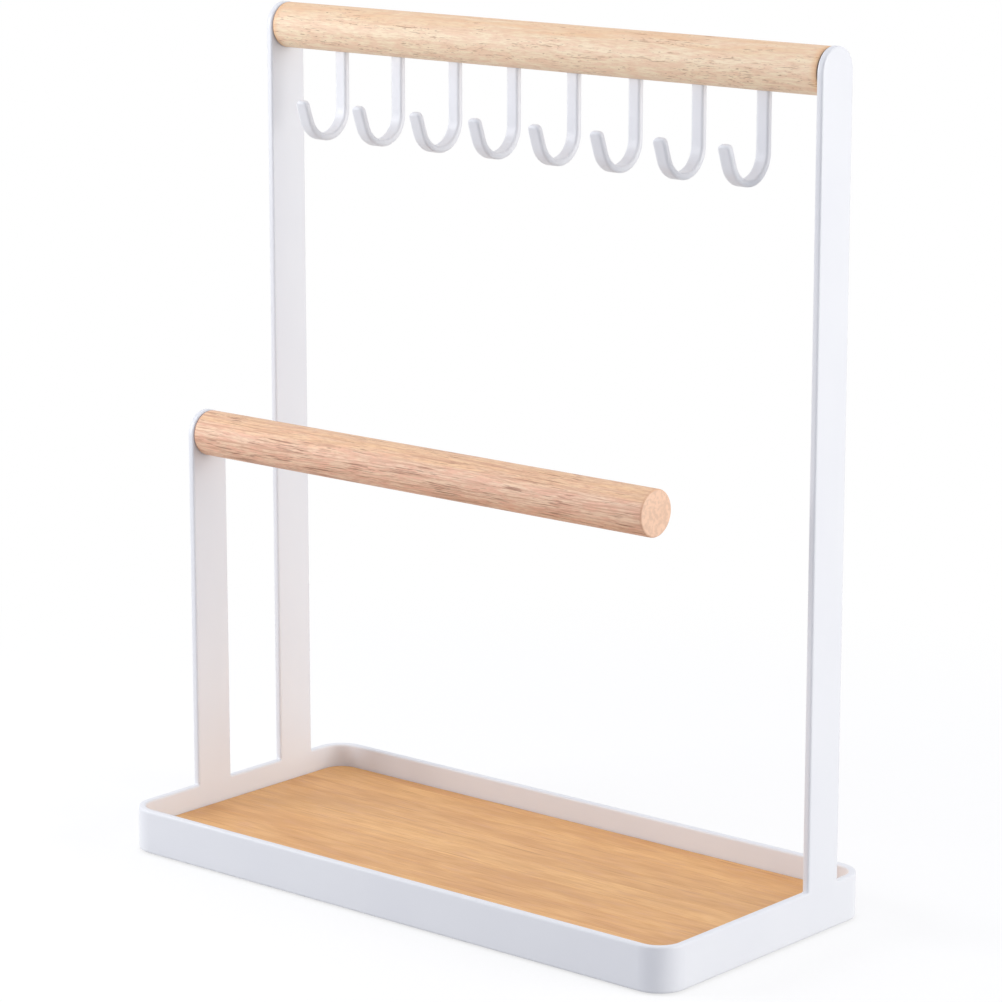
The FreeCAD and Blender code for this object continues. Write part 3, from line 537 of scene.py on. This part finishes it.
def piece(name, mesh, material, sharp_from=CRISP):
    """Turn a bmesh into an object with smooth faces and crisp edges beyond an angle in degrees."""
    data = bpy.data.meshes.new(name)
    mesh.to_mesh(data)
    mesh.free()
    for polygon in data.polygons:
        polygon.use_smooth = True
    data.set_sharp_from_angle(angle=math.radians(sharp_from))
    made = bpy.data.objects.new(name, data)
    bpy.context.scene.collection.objects.link(made)
    if material is not None:
        data.materials.append(material)
    return made


def carved(blank, cutter):
    """Cut one object's solid out of another with the Boolean modifier and keep the result as a mesh."""
    cut = blank.modifiers.new("carve", "BOOLEAN")
    cut.operation = "DIFFERENCE"
    cut.solver = "EXACT"
    cut.object = cutter
    evaluated = blank.evaluated_get(bpy.context.evaluated_depsgraph_get())
    result = bpy.data.meshes.new_from_object(evaluated)
    blank.modifiers.clear()
    old = blank.data
    blank.data = result
    bpy.data.meshes.remove(old)
    bpy.data.objects.remove(cutter)
    result.set_sharp_from_angle(angle=math.radians(CRISP))
    return blank


def seat(made, node):
    """Let a piece ride on the stand in place of a solid, which it hides."""
    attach(made, BODY)
    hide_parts(node)


def dress(node, material):
    """Give a solid that stays as it is its finish."""
    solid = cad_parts[node]
    solid.data.materials.clear()
    solid.data.materials.append(material)


def middle(node):
    """The middle of a solid's box."""
    low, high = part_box(node)
    return (low + high) / 2


def quarter(centre_x, centre_radius, radius, start, steps):
    """Points (x, radius) of a rounded edge, over a quarter turn from a start angle in degrees."""
    points = []
    for step in range(steps + 1):
        turn = math.radians(start - 90 * step / steps)
        points.append((centre_x + radius * math.cos(turn), centre_radius + radius * math.sin(turn)))
    return points


# ---------------------------------------------------------------- wooden bars

def sanded_bar(node, settings, material):
    """Turn a bar with eased ends and a sanded, slightly uneven surface."""
    low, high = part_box(node)
    y, z = middle(node).y, middle(node).z
    radius, ease, spacing = (high.z - low.z) / 2, 0.7 * MM, 1.5 * MM
    stations = quarter(low.x + ease, radius - ease, ease, 180, 5)
    count = round((high.x - low.x - 2 * ease) / spacing)
    step = (high.x - low.x - 2 * ease) / count
    stations += [(low.x + ease + step * index, radius) for index in range(1, count)]
    stations += quarter(high.x - ease, radius - ease, ease, 90, 5)

    wave_along, waves_round = 28 * MM, 1.6
    rows = []
    for x, reach in stations:
        def uneven(turn, x=x, reach=reach):
            point = Vector((x / wave_along, waves_round * math.cos(turn), waves_round * math.sin(turn)))
            return reach - settings.waviness * (0.5 + 0.5 * noise.noise(point))
        rows.append(ring(x, y, z, uneven, BAR_SIDES))
    return piece(f"{node}_turned", skinned(rows), material)


def screw_bore(node, screw):
    """The room for a bar's threaded insert and, deeper, for the end of its screw."""
    y, z = middle(node).y, middle(node).z
    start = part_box(node)[0].x
    insert_low, insert_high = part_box(f"{node}_insert")
    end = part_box(f"{node}_screw")[1].x
    wide, narrow = (insert_high.z - insert_low.z) / 2 + PLAY, screw / 2 + PLAY
    profile = [(start - PAST, wide), (insert_high.x, wide), (insert_high.x, narrow), (end + PAST, narrow)]
    return skinned([ring(x, y, z, reach, INSERT_SIDES) for x, reach in profile])


def peg_bore(node):
    """The room for the peg at a bar's right end."""
    y, z = middle(node).y, middle(node).z
    end, depth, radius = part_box(node)[1].x, 9.0 * MM, 2.1 * MM
    return skinned([ring(x, y, z, radius, SCREW_SIDES) for x in (end - depth, end + PAST)])


def tang_slot(node, hook, tang):
    """The room in a bar for a hook's tang."""
    y, bottom = middle(node).y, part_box(node)[0].z
    low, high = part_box(hook)
    centre, wide, thick = middle(hook).x, (high.x - low.x) / 2 + PLAY, tang / 2 + PLAY
    corners = [(centre - wide, y - thick), (centre + wide, y - thick),
               (centre + wide, y + thick), (centre - wide, y + thick)]
    return skinned([[Vector((*corner, level)) for corner in corners] for level in (bottom - PAST, high.z)])


def fitted_bar(node, settings, material, rooms):
    """Turn a bar, cut the rooms for its fixings out of it, and seat it."""
    bar = sanded_bar(node, settings, material)
    cutter, *others = rooms
    for room in others:
        join(cutter, room)
    carved(bar, piece(f"{node}_cutter", cutter, None))
    seat(bar, node)


# ---------------------------------------------------------------- hooks

def strip_section(half_width, half_thickness, edge, steps=5):
    """Points (across, through) round a strip with rounded edges and a held line beside each rounding."""
    hold = min(0.06 * MM, 0.4 * (half_thickness - edge), 0.4 * (half_width - edge))
    points = []
    corners = [(1, 1, 0), (-1, 1, 90), (-1, -1, 180), (1, -1, 270)]
    for side, face, start in corners:
        arc = []
        for step in range(steps + 1):
            turn = math.radians(start + 90 * step / steps)
            arc.append((side * (half_width - edge) + edge * math.cos(turn),
                        face * (half_thickness - edge) + edge * math.sin(turn)))
        enter, leave = (0, -face * hold), (-side * hold, 0)
        if side * face < 0:
            enter, leave = leave, enter
        points.append((arc[0][0] + enter[0], arc[0][1] + enter[1]))
        points += arc
        points.append((arc[-1][0] + leave[0], arc[-1][1] + leave[1]))
    return points


def drawn_in(distance, radius):
    """How much a rounded corner has drawn a side in, at a distance from the end."""
    if distance >= radius:
        return 0.0
    return radius - math.sqrt(radius ** 2 - (radius - distance) ** 2)


def bent_hook(node, settings, material):
    """Sweep a strip down from the bar, round its bend and up to the rounded tip that leans out."""
    low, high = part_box(node)
    x = middle(node).x
    half_width, half = (high.x - low.x) / 2, settings.thickness / 2
    shank_y = high.y - half
    centre_z = low.z + half + settings.bend
    sweep = math.pi - settings.lean

    stations = [(Vector((x, shank_y, high.z)), Vector((0, 0, -1)), settings.tip)]
    bend_steps, tip_steps = 36, 14
    for step in range(bend_steps + 1):
        turn = sweep * step / bend_steps
        place = Vector((x, shank_y - settings.bend + settings.bend * math.cos(turn),
                        centre_z - settings.bend * math.sin(turn)))
        stations.append((place, Vector((0, -math.sin(turn), -math.cos(turn))), settings.tip))
    bend_end, ahead, _ = stations[-1]
    for step in range(tip_steps + 1):
        reach = settings.tip_round * math.sin(math.pi / 2 * step / tip_steps) * NEARLY_ALL
        left = settings.tip_round - reach
        stations.append((bend_end + ahead * (settings.tip - left), ahead, left))

    rows = []
    for place, along, left in stations:
        width = half_width - drawn_in(left, settings.tip_round)
        depth = half - drawn_in(left, settings.edge_round)
        edge = min(settings.edge_round, depth * ROUND_SHARE)
        through = Vector((0, along.z, -along.y))
        rows.append([place + Vector((across, 0, 0)) + through * out
                     for across, out in strip_section(width, depth, edge)])
    hook = piece(f"{node}_strip", skinned(rows), material, sharp_from=50.0)
    seat(hook, node)


# ---------------------------------------------------------------- board

def rounded_outline(low, high, inset, radius, level, steps=10):
    """Points round a rectangle with rounded corners, moved inwards by an inset."""
    points = []
    corners = [(high.x - radius, high.y - radius, 0), (low.x + radius, high.y - radius, 90),
               (low.x + radius, low.y + radius, 180), (high.x - radius, low.y + radius, 270)]
    reach = radius - inset
    for x, y, start in corners:
        for step in range(steps + 1):
            turn = math.radians(start + 90 * step / steps)
            points.append(Vector((x + reach * math.cos(turn), y + reach * math.sin(turn), level)))
    return points


def strip_board(settings, material):
    """Build the board with its upper bevel and a fine groove at every glued joint."""
    low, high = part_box("base_board")
    bevel, half = settings.bevel, settings.joint_width / 2
    levels = [(0, low.z), (0, high.z - bevel), (bevel, high.z)]
    mesh = skinned([rounded_outline(low, high, inset, settings.corner, level) for inset, level in levels])
    joints = []
    place = first_joint(settings)
    while place < high.y - 2 * half:
        if place > low.y + 2 * half:
            joints.append(place)
        place += settings.strip_width
    for place in joints:
        for line in (place - half, place, place + half):
            parts = mesh.verts[:] + mesh.edges[:] + mesh.faces[:]
            bmesh.ops.bisect_plane(mesh, geom=parts, plane_co=(0, line, 0), plane_no=(0, 1, 0))
    same = 0.001 * MM
    for vertex in mesh.verts:
        if vertex.co.z > high.z - same and any(abs(vertex.co.y - place) < same for place in joints):
            vertex.co.z -= settings.joint_depth
    board = piece("bamboo_board", mesh, material, sharp_from=20.0)
    seat(board, "base_board")


def first_joint(settings):
    """Place of a joint in front of the board's front edge, from which the strips are counted."""
    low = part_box("base_board")[0]
    return low.y - settings.strip_width * 0.4


# ---------------------------------------------------------------- feet

def grip_pad(node, settings, material):
    """Build a round pad with grip rings under it."""
    low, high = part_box(node)
    centre, radius, edge = middle(node), (high.x - low.x) / 2, settings.edge
    profile = [(high.z, radius)]
    steps = 4
    for step in range(steps + 1):
        turn = math.radians(90 * step / steps)
        profile.append((low.z + edge - edge * math.sin(turn), radius - edge + edge * math.cos(turn)))
    groove = radius - edge - settings.ring_pitch / 2
    mouth, floor, top = settings.ring_pitch / 4, settings.ring_pitch / 8, low.z + settings.ring_depth
    while groove > settings.ring_pitch:
        profile += [(low.z, groove + mouth), (top, groove + floor),
                    (top, groove - floor), (low.z, groove - mouth)]
        groove -= settings.ring_pitch
    rows = []
    for level, reach in profile:
        rows.append([Vector((centre.x + point.y, centre.y + point.z, level))
                     for point in ring(0, 0, 0, reach, PAD_SIDES)])
    pad = piece(f"{node}_rubber", skinned(rows), material)
    seat(pad, node)


# ---------------------------------------------------------------- fixings

def thread_reach(x, core, crest, pitch):
    """Radius of a thread at a place along its axis, as a function of the angle."""
    def reach(turn):
        phase = (x / pitch - turn / math.tau) % 1.0
        rise = min(1.0, max(0.0, 1.5 - abs(phase - 0.5) * 4.0))
        return core + (crest - core) * rise
    return reach


def thread_rows(start, end, y, z, core, crest, pitch, sides):
    """Rings of points along a thread, from one place on its axis to another."""
    count = round(abs(end - start) / (pitch / THREAD_ROWS))
    places = [start + (end - start) * index / count for index in range(count + 1)]
    return [ring(x, y, z, thread_reach(x, core, crest, pitch), sides) for x in places]


def threaded_screw(node, settings, material):
    """Build a countersunk screw with its rolled thread and hexagon socket."""
    low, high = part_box(node)
    y, z = middle(node).y, middle(node).z
    head, core, crest = settings.head / 2, settings.core / 2, settings.screw / 2
    softened, rim, point, blunt = 0.15 * MM, 0.1 * MM, 0.6 * MM, core * 0.82
    cone_end = low.x + head - crest
    thread_start = cone_end + settings.neck
    profile = [(low.x, head - softened), (low.x + rim, head), (cone_end, crest), (thread_start, crest)]
    rows = [ring(x, y, z, reach, SCREW_SIDES) for x, reach in profile]
    rows += thread_rows(thread_start, high.x - point, y, z, core, crest, settings.pitch, SCREW_SIDES)[1:]
    rows.append(ring(high.x, y, z, blunt, SCREW_SIDES))
    screw = piece(f"{node}_threaded", skinned(rows), material, sharp_from=50.0)
    flats = settings.socket / math.sqrt(3)
    places = (low.x - PAST, low.x + settings.socket_depth)
    carved(screw, piece("hexagon", skinned([ring(x, y, z, flats, 6) for x in places]), None))
    seat(screw, node)


def ribbed_insert(node, settings, material):
    """Build a threaded insert: ribs that slope against the pull outside, the screw's thread inside."""
    low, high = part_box(node)
    y, z = middle(node).y, middle(node).z
    outer = (high.z - low.z) / 2
    groove, shoulder = outer - settings.rib_depth, outer - 0.15 * MM
    step = (high.x - low.x) / (2 * settings.ribs - 1)
    outside = []
    for index in range(settings.ribs):
        start = low.x + 2 * step * index
        outside += [(start, outer), (start + step * 0.7, outer), (start + step, shoulder)]
        if index < settings.ribs - 1:
            outside += [(start + step, groove), (start + 2 * step, groove)]
    rows = [ring(x, y, z, reach, INSERT_SIDES) for x, reach in outside]
    inner = settings.screw / 2 + PLAY
    deep = inner + (settings.screw - settings.core) / 2
    rows += thread_rows(high.x, low.x, y, z, inner, deep, settings.pitch, INSERT_SIDES)
    insert = piece(f"{node}_threaded", skinned(rows, looped=True), material, sharp_from=50.0)
    seat(insert, node)


# ---------------------------------------------------------------- stage

def aimed_lamp(name, direction, distance, size, level, colour=WHITE):
    """Hang a square soft lamp.  A white surface that faces it at the stand shows its level."""
    light = bpy.data.lights.new(name, "AREA")
    light.shape = "SQUARE"
    light.size = size
    light.energy = level * math.pi ** 2 * distance ** 2
    light.color = colour
    lamp = bpy.data.objects.new(name, light)
    bpy.context.scene.collection.objects.link(lamp)
    target = (CAD_BOX[0] + CAD_BOX[1]) / 2
    back = Vector(direction).normalized()
    facing = back.to_track_quat("Z", "Y").to_matrix().to_4x4()
    lamp.matrix_world = Matrix.Translation(target + back * distance) @ facing
    lamp.visible_camera = False


def white_floor(settings):
    """Lay a white floor that keeps a share of the stand's shadow and hides nothing from below."""
    mesh = bmesh.new()
    bmesh.ops.create_grid(mesh, x_segments=1, y_segments=1, size=settings.floor_reach)
    floor = piece("floor", mesh, None)
    under_feet = 0.05 * MM
    floor.location.z = -under_feet
    finish = Finish("white_floor")
    path = finish.add("ShaderNodeLightPath", {}, "Is Camera Ray")
    thrown = (settings.bounce, settings.bounce, settings.bounce)
    paper = finish.add("ShaderNodeBsdfDiffuse", {"Color": finish.mixed(path, thrown, WHITE)})
    glow = finish.add("ShaderNodeEmission", {"Color": WHITE, "Strength": 1.0})
    clear = finish.add("ShaderNodeBsdfTransparent", {})
    shiny = finish.add("ShaderNodeLightPath", {}, "Is Glossy Ray")
    distance = finish.add("ShaderNodeVectorMath", {0: finish.place()}, "Value", operation="LENGTH")
    reach = settings.shadow_reach / MM
    kept = finish.band(distance, reach * 0.4, reach, settings.shadow, 0.0)
    seen = finish.math("MAXIMUM", finish.math("MULTIPLY", path, finish.math("SUBTRACT", 1.0, kept)), shiny)
    upper = finish.add("ShaderNodeMixShader", {0: seen, 1: paper, 2: glow})
    under = finish.add("ShaderNodeNewGeometry", {}, "Backfacing")
    surface = finish.add("ShaderNodeMixShader", {0: under, 1: upper, 2: clear})
    output = finish.tree.nodes["Material Output"]
    finish.tree.links.new(surface, output.inputs["Surface"])
    finish.tree.nodes.remove(finish.surface)
    floor.data.materials.append(finish.material)


def pale_world(settings):
    """Light the stand evenly from all round, and show white to the camera and in reflections."""
    world = bpy.data.worlds.new("studio")
    bpy.context.scene.world = world
    world.use_nodes = True
    tree = world.node_tree
    tree.nodes.clear()
    path = tree.nodes.new("ShaderNodeLightPath")
    seen = path.outputs["Is Camera Ray"]
    for ray in ("Is Glossy Ray", "Is Transmission Ray"):
        either = tree.nodes.new("ShaderNodeMath")
        either.operation = "MAXIMUM"
        tree.links.new(seen, either.inputs[0])
        tree.links.new(path.outputs[ray], either.inputs[1])
        seen = either.outputs[0]
    mixed = tree.nodes.new("ShaderNodeMixShader")
    tree.links.new(seen, mixed.inputs[0])
    for socket, colour in ((1, settings.ambient), (2, WHITE)):
        light = tree.nodes.new("ShaderNodeBackground")
        light.inputs["Color"].default_value = (*colour, 1.0)
        tree.links.new(light.outputs[0], mixed.inputs[socket])
    output = tree.nodes.new("ShaderNodeOutputWorld")
    tree.links.new(mixed.outputs[0], output.inputs["Surface"])


def placed_camera(settings):
    """Set the camera in front of the stand's right corner, a little above it."""
    data = bpy.data.cameras.new("camera")
    data.sensor_width = 36.0
    data.lens = settings.lens
    data.clip_end = 50.0
    camera = bpy.data.objects.new("camera", data)
    bpy.context.scene.collection.objects.link(camera)
    tilt = Matrix.Rotation(math.pi / 2 - settings.elevation, 4, "X")
    turn = Matrix.Rotation(settings.azimuth, 4, "Z")
    camera.matrix_world = Matrix.Translation(settings.camera_place) @ turn @ tilt
    bpy.context.scene.camera = camera


# ---------------------------------------------------------------- operators

class STAND_OT_steel(bpy.types.Operator):
    """Coat the frame and the bottom plate"""
    bl_idname = "stand.steel"
    bl_label = "Coat the Steel"
    bl_options = {"REGISTER", "UNDO"}

    def execute(self, context):
        for node in ("frame", "bottom_plate"):
            dress(node, steel_coat(context.scene.stand))
        return {"FINISHED"}


class STAND_OT_hooks(bpy.types.Operator):
    """Bend the hooks and coat them"""
    bl_idname = "stand.hooks"
    bl_label = "Bend the Hooks"
    bl_options = {"REGISTER", "UNDO"}

    def execute(self, context):
        stand = context.scene.stand
        for node in HOOKS:
            bent_hook(node, stand.hooks, steel_coat(stand))
        return {"FINISHED"}


class STAND_OT_top_bar(bpy.types.Operator):
    """Turn the bar that carries the hooks"""
    bl_idname = "stand.top_bar"
    bl_label = "Turn the Top Bar"
    bl_options = {"REGISTER", "UNDO"}

    def execute(self, context):
        stand = context.scene.stand
        wood = turned_wood("pale_wood", "top_bar", stand.top_bar, pith=(4.0, 39.5), runout=(0.25, -0.6))
        rooms = [screw_bore("top_bar", stand.fixings.screw), peg_bore("top_bar")]
        rooms += [tang_slot("top_bar", hook, stand.hooks.thickness) for hook in HOOKS]
        fitted_bar("top_bar", stand.top_bar, wood, rooms)
        return {"FINISHED"}


class STAND_OT_side_arm(bpy.types.Operator):
    """Turn the arm on the short upright"""
    bl_idname = "stand.side_arm"
    bl_label = "Turn the Side Arm"
    bl_options = {"REGISTER", "UNDO"}

    def execute(self, context):
        stand = context.scene.stand
        wood = turned_wood("pink_wood", "side_arm", stand.side_arm, pith=(8.0, 40.0), runout=(0.5, 0.6))
        rooms = [screw_bore("side_arm", stand.fixings.screw)]
        fitted_bar("side_arm", stand.side_arm, wood, rooms)
        return {"FINISHED"}


class STAND_OT_board(bpy.types.Operator):
    """Glue up the bamboo board"""
    bl_idname = "stand.board"
    bl_label = "Glue Up the Board"
    bl_options = {"REGISTER", "UNDO"}

    def execute(self, context):
        board = context.scene.stand.board
        strip_board(board, bamboo(board, first_joint(board)))
        return {"FINISHED"}


class STAND_OT_feet(bpy.types.Operator):
    """Mould the foot pads"""
    bl_idname = "stand.feet"
    bl_label = "Mould the Feet"
    bl_options = {"REGISTER", "UNDO"}

    def execute(self, context):
        feet = context.scene.stand.feet
        rubber = moulded_rubber(feet)
        for node in PADS:
            grip_pad(node, feet, rubber)
        return {"FINISHED"}


class STAND_OT_fixings(bpy.types.Operator):
    """Make the screws and the threaded inserts"""
    bl_idname = "stand.fixings"
    bl_label = "Make the Fixings"
    bl_options = {"REGISTER", "UNDO"}

    def execute(self, context):
        fixings = context.scene.stand.fixings
        steel = turned_metal("zinc_plate", fixings.steel, roughness=0.24)
        brass = turned_metal("turned_brass", fixings.brass, roughness=0.28)
        for node in ("top_bar", "side_arm"):
            threaded_screw(f"{node}_screw", fixings, steel)
            ribbed_insert(f"{node}_insert", fixings, brass)
        return {"FINISHED"}


class STAND_OT_stage(bpy.types.Operator):
    """Set up the camera, the floor, the lamps and the world"""
    bl_idname = "stand.stage"
    bl_label = "Set Up the Stage"
    bl_options = {"REGISTER", "UNDO"}

    def execute(self, context):
        stage = context.scene.stand.stage
        context.scene.view_settings.view_transform = "Standard"
        placed_camera(stage)
        white_floor(stage)
        pale_world(stage)
        aimed_lamp("key", (0.93, 0.32, 0.14), distance=1.5, size=0.88, level=stage.key_level,
                   colour=stage.key_colour)
        aimed_lamp("fill", (-0.74, -0.61, 0.27), distance=0.95, size=0.56, level=stage.fill_level)
        aimed_lamp("top", (-0.05, 0.05, 1.0), distance=1.3, size=1.2, level=stage.top_level)
        return {"FINISHED"}


class STAND_PT_sidebar(bpy.types.Panel):
    """The stand's operators and settings in the sidebar"""
    bl_label = "Jewellery Stand"
    bl_idname = "STAND_PT_sidebar"
    bl_space_type = "VIEW_3D"
    bl_region_type = "UI"
    bl_category = "Stand"

    def draw(self, context):
        stand = context.scene.stand
        for operator, group in BUILD_ORDER:
            box = self.layout.box()
            box.operator(operator.bl_idname)
            for name in type(getattr(stand, group)).__annotations__:
                box.prop(getattr(stand, group), name)


BUILD_ORDER = (
    (STAND_OT_steel, "coat"),
    (STAND_OT_hooks, "hooks"),
    (STAND_OT_top_bar, "top_bar"),
    (STAND_OT_side_arm, "side_arm"),
    (STAND_OT_board, "board"),
    (STAND_OT_feet, "feet"),
    (STAND_OT_fixings, "fixings"),
    (STAND_OT_stage, "stage"),
)
SETTINGS = (CoatSettings, TopBarSettings, SideArmSettings, HookSettings, BoardSettings, FootSettings,
            FixingSettings, StageSettings, StandSettings)
CLASSES = (*SETTINGS, *(operator for operator, group in BUILD_ORDER), STAND_PT_sidebar)


def register():
    """Register the classes and hang the settings on the scene."""
    for cls in CLASSES:
        bpy.utils.register_class(cls)
    bpy.types.Scene.stand = PointerProperty(type=StandSettings)


def unregister():
    """Take everything away again."""
    del bpy.types.Scene.stand
    for cls in reversed(CLASSES):
        bpy.utils.unregister_class(cls)


def main():
    """Build the stand."""
    register()
    bpy.ops.stand.steel()
    bpy.ops.stand.hooks()
    bpy.ops.stand.top_bar()
    bpy.ops.stand.side_arm()
    bpy.ops.stand.board()
    bpy.ops.stand.feet()
    bpy.ops.stand.fixings()
    bpy.ops.stand.stage()


if __name__ == "__main__":
    main()
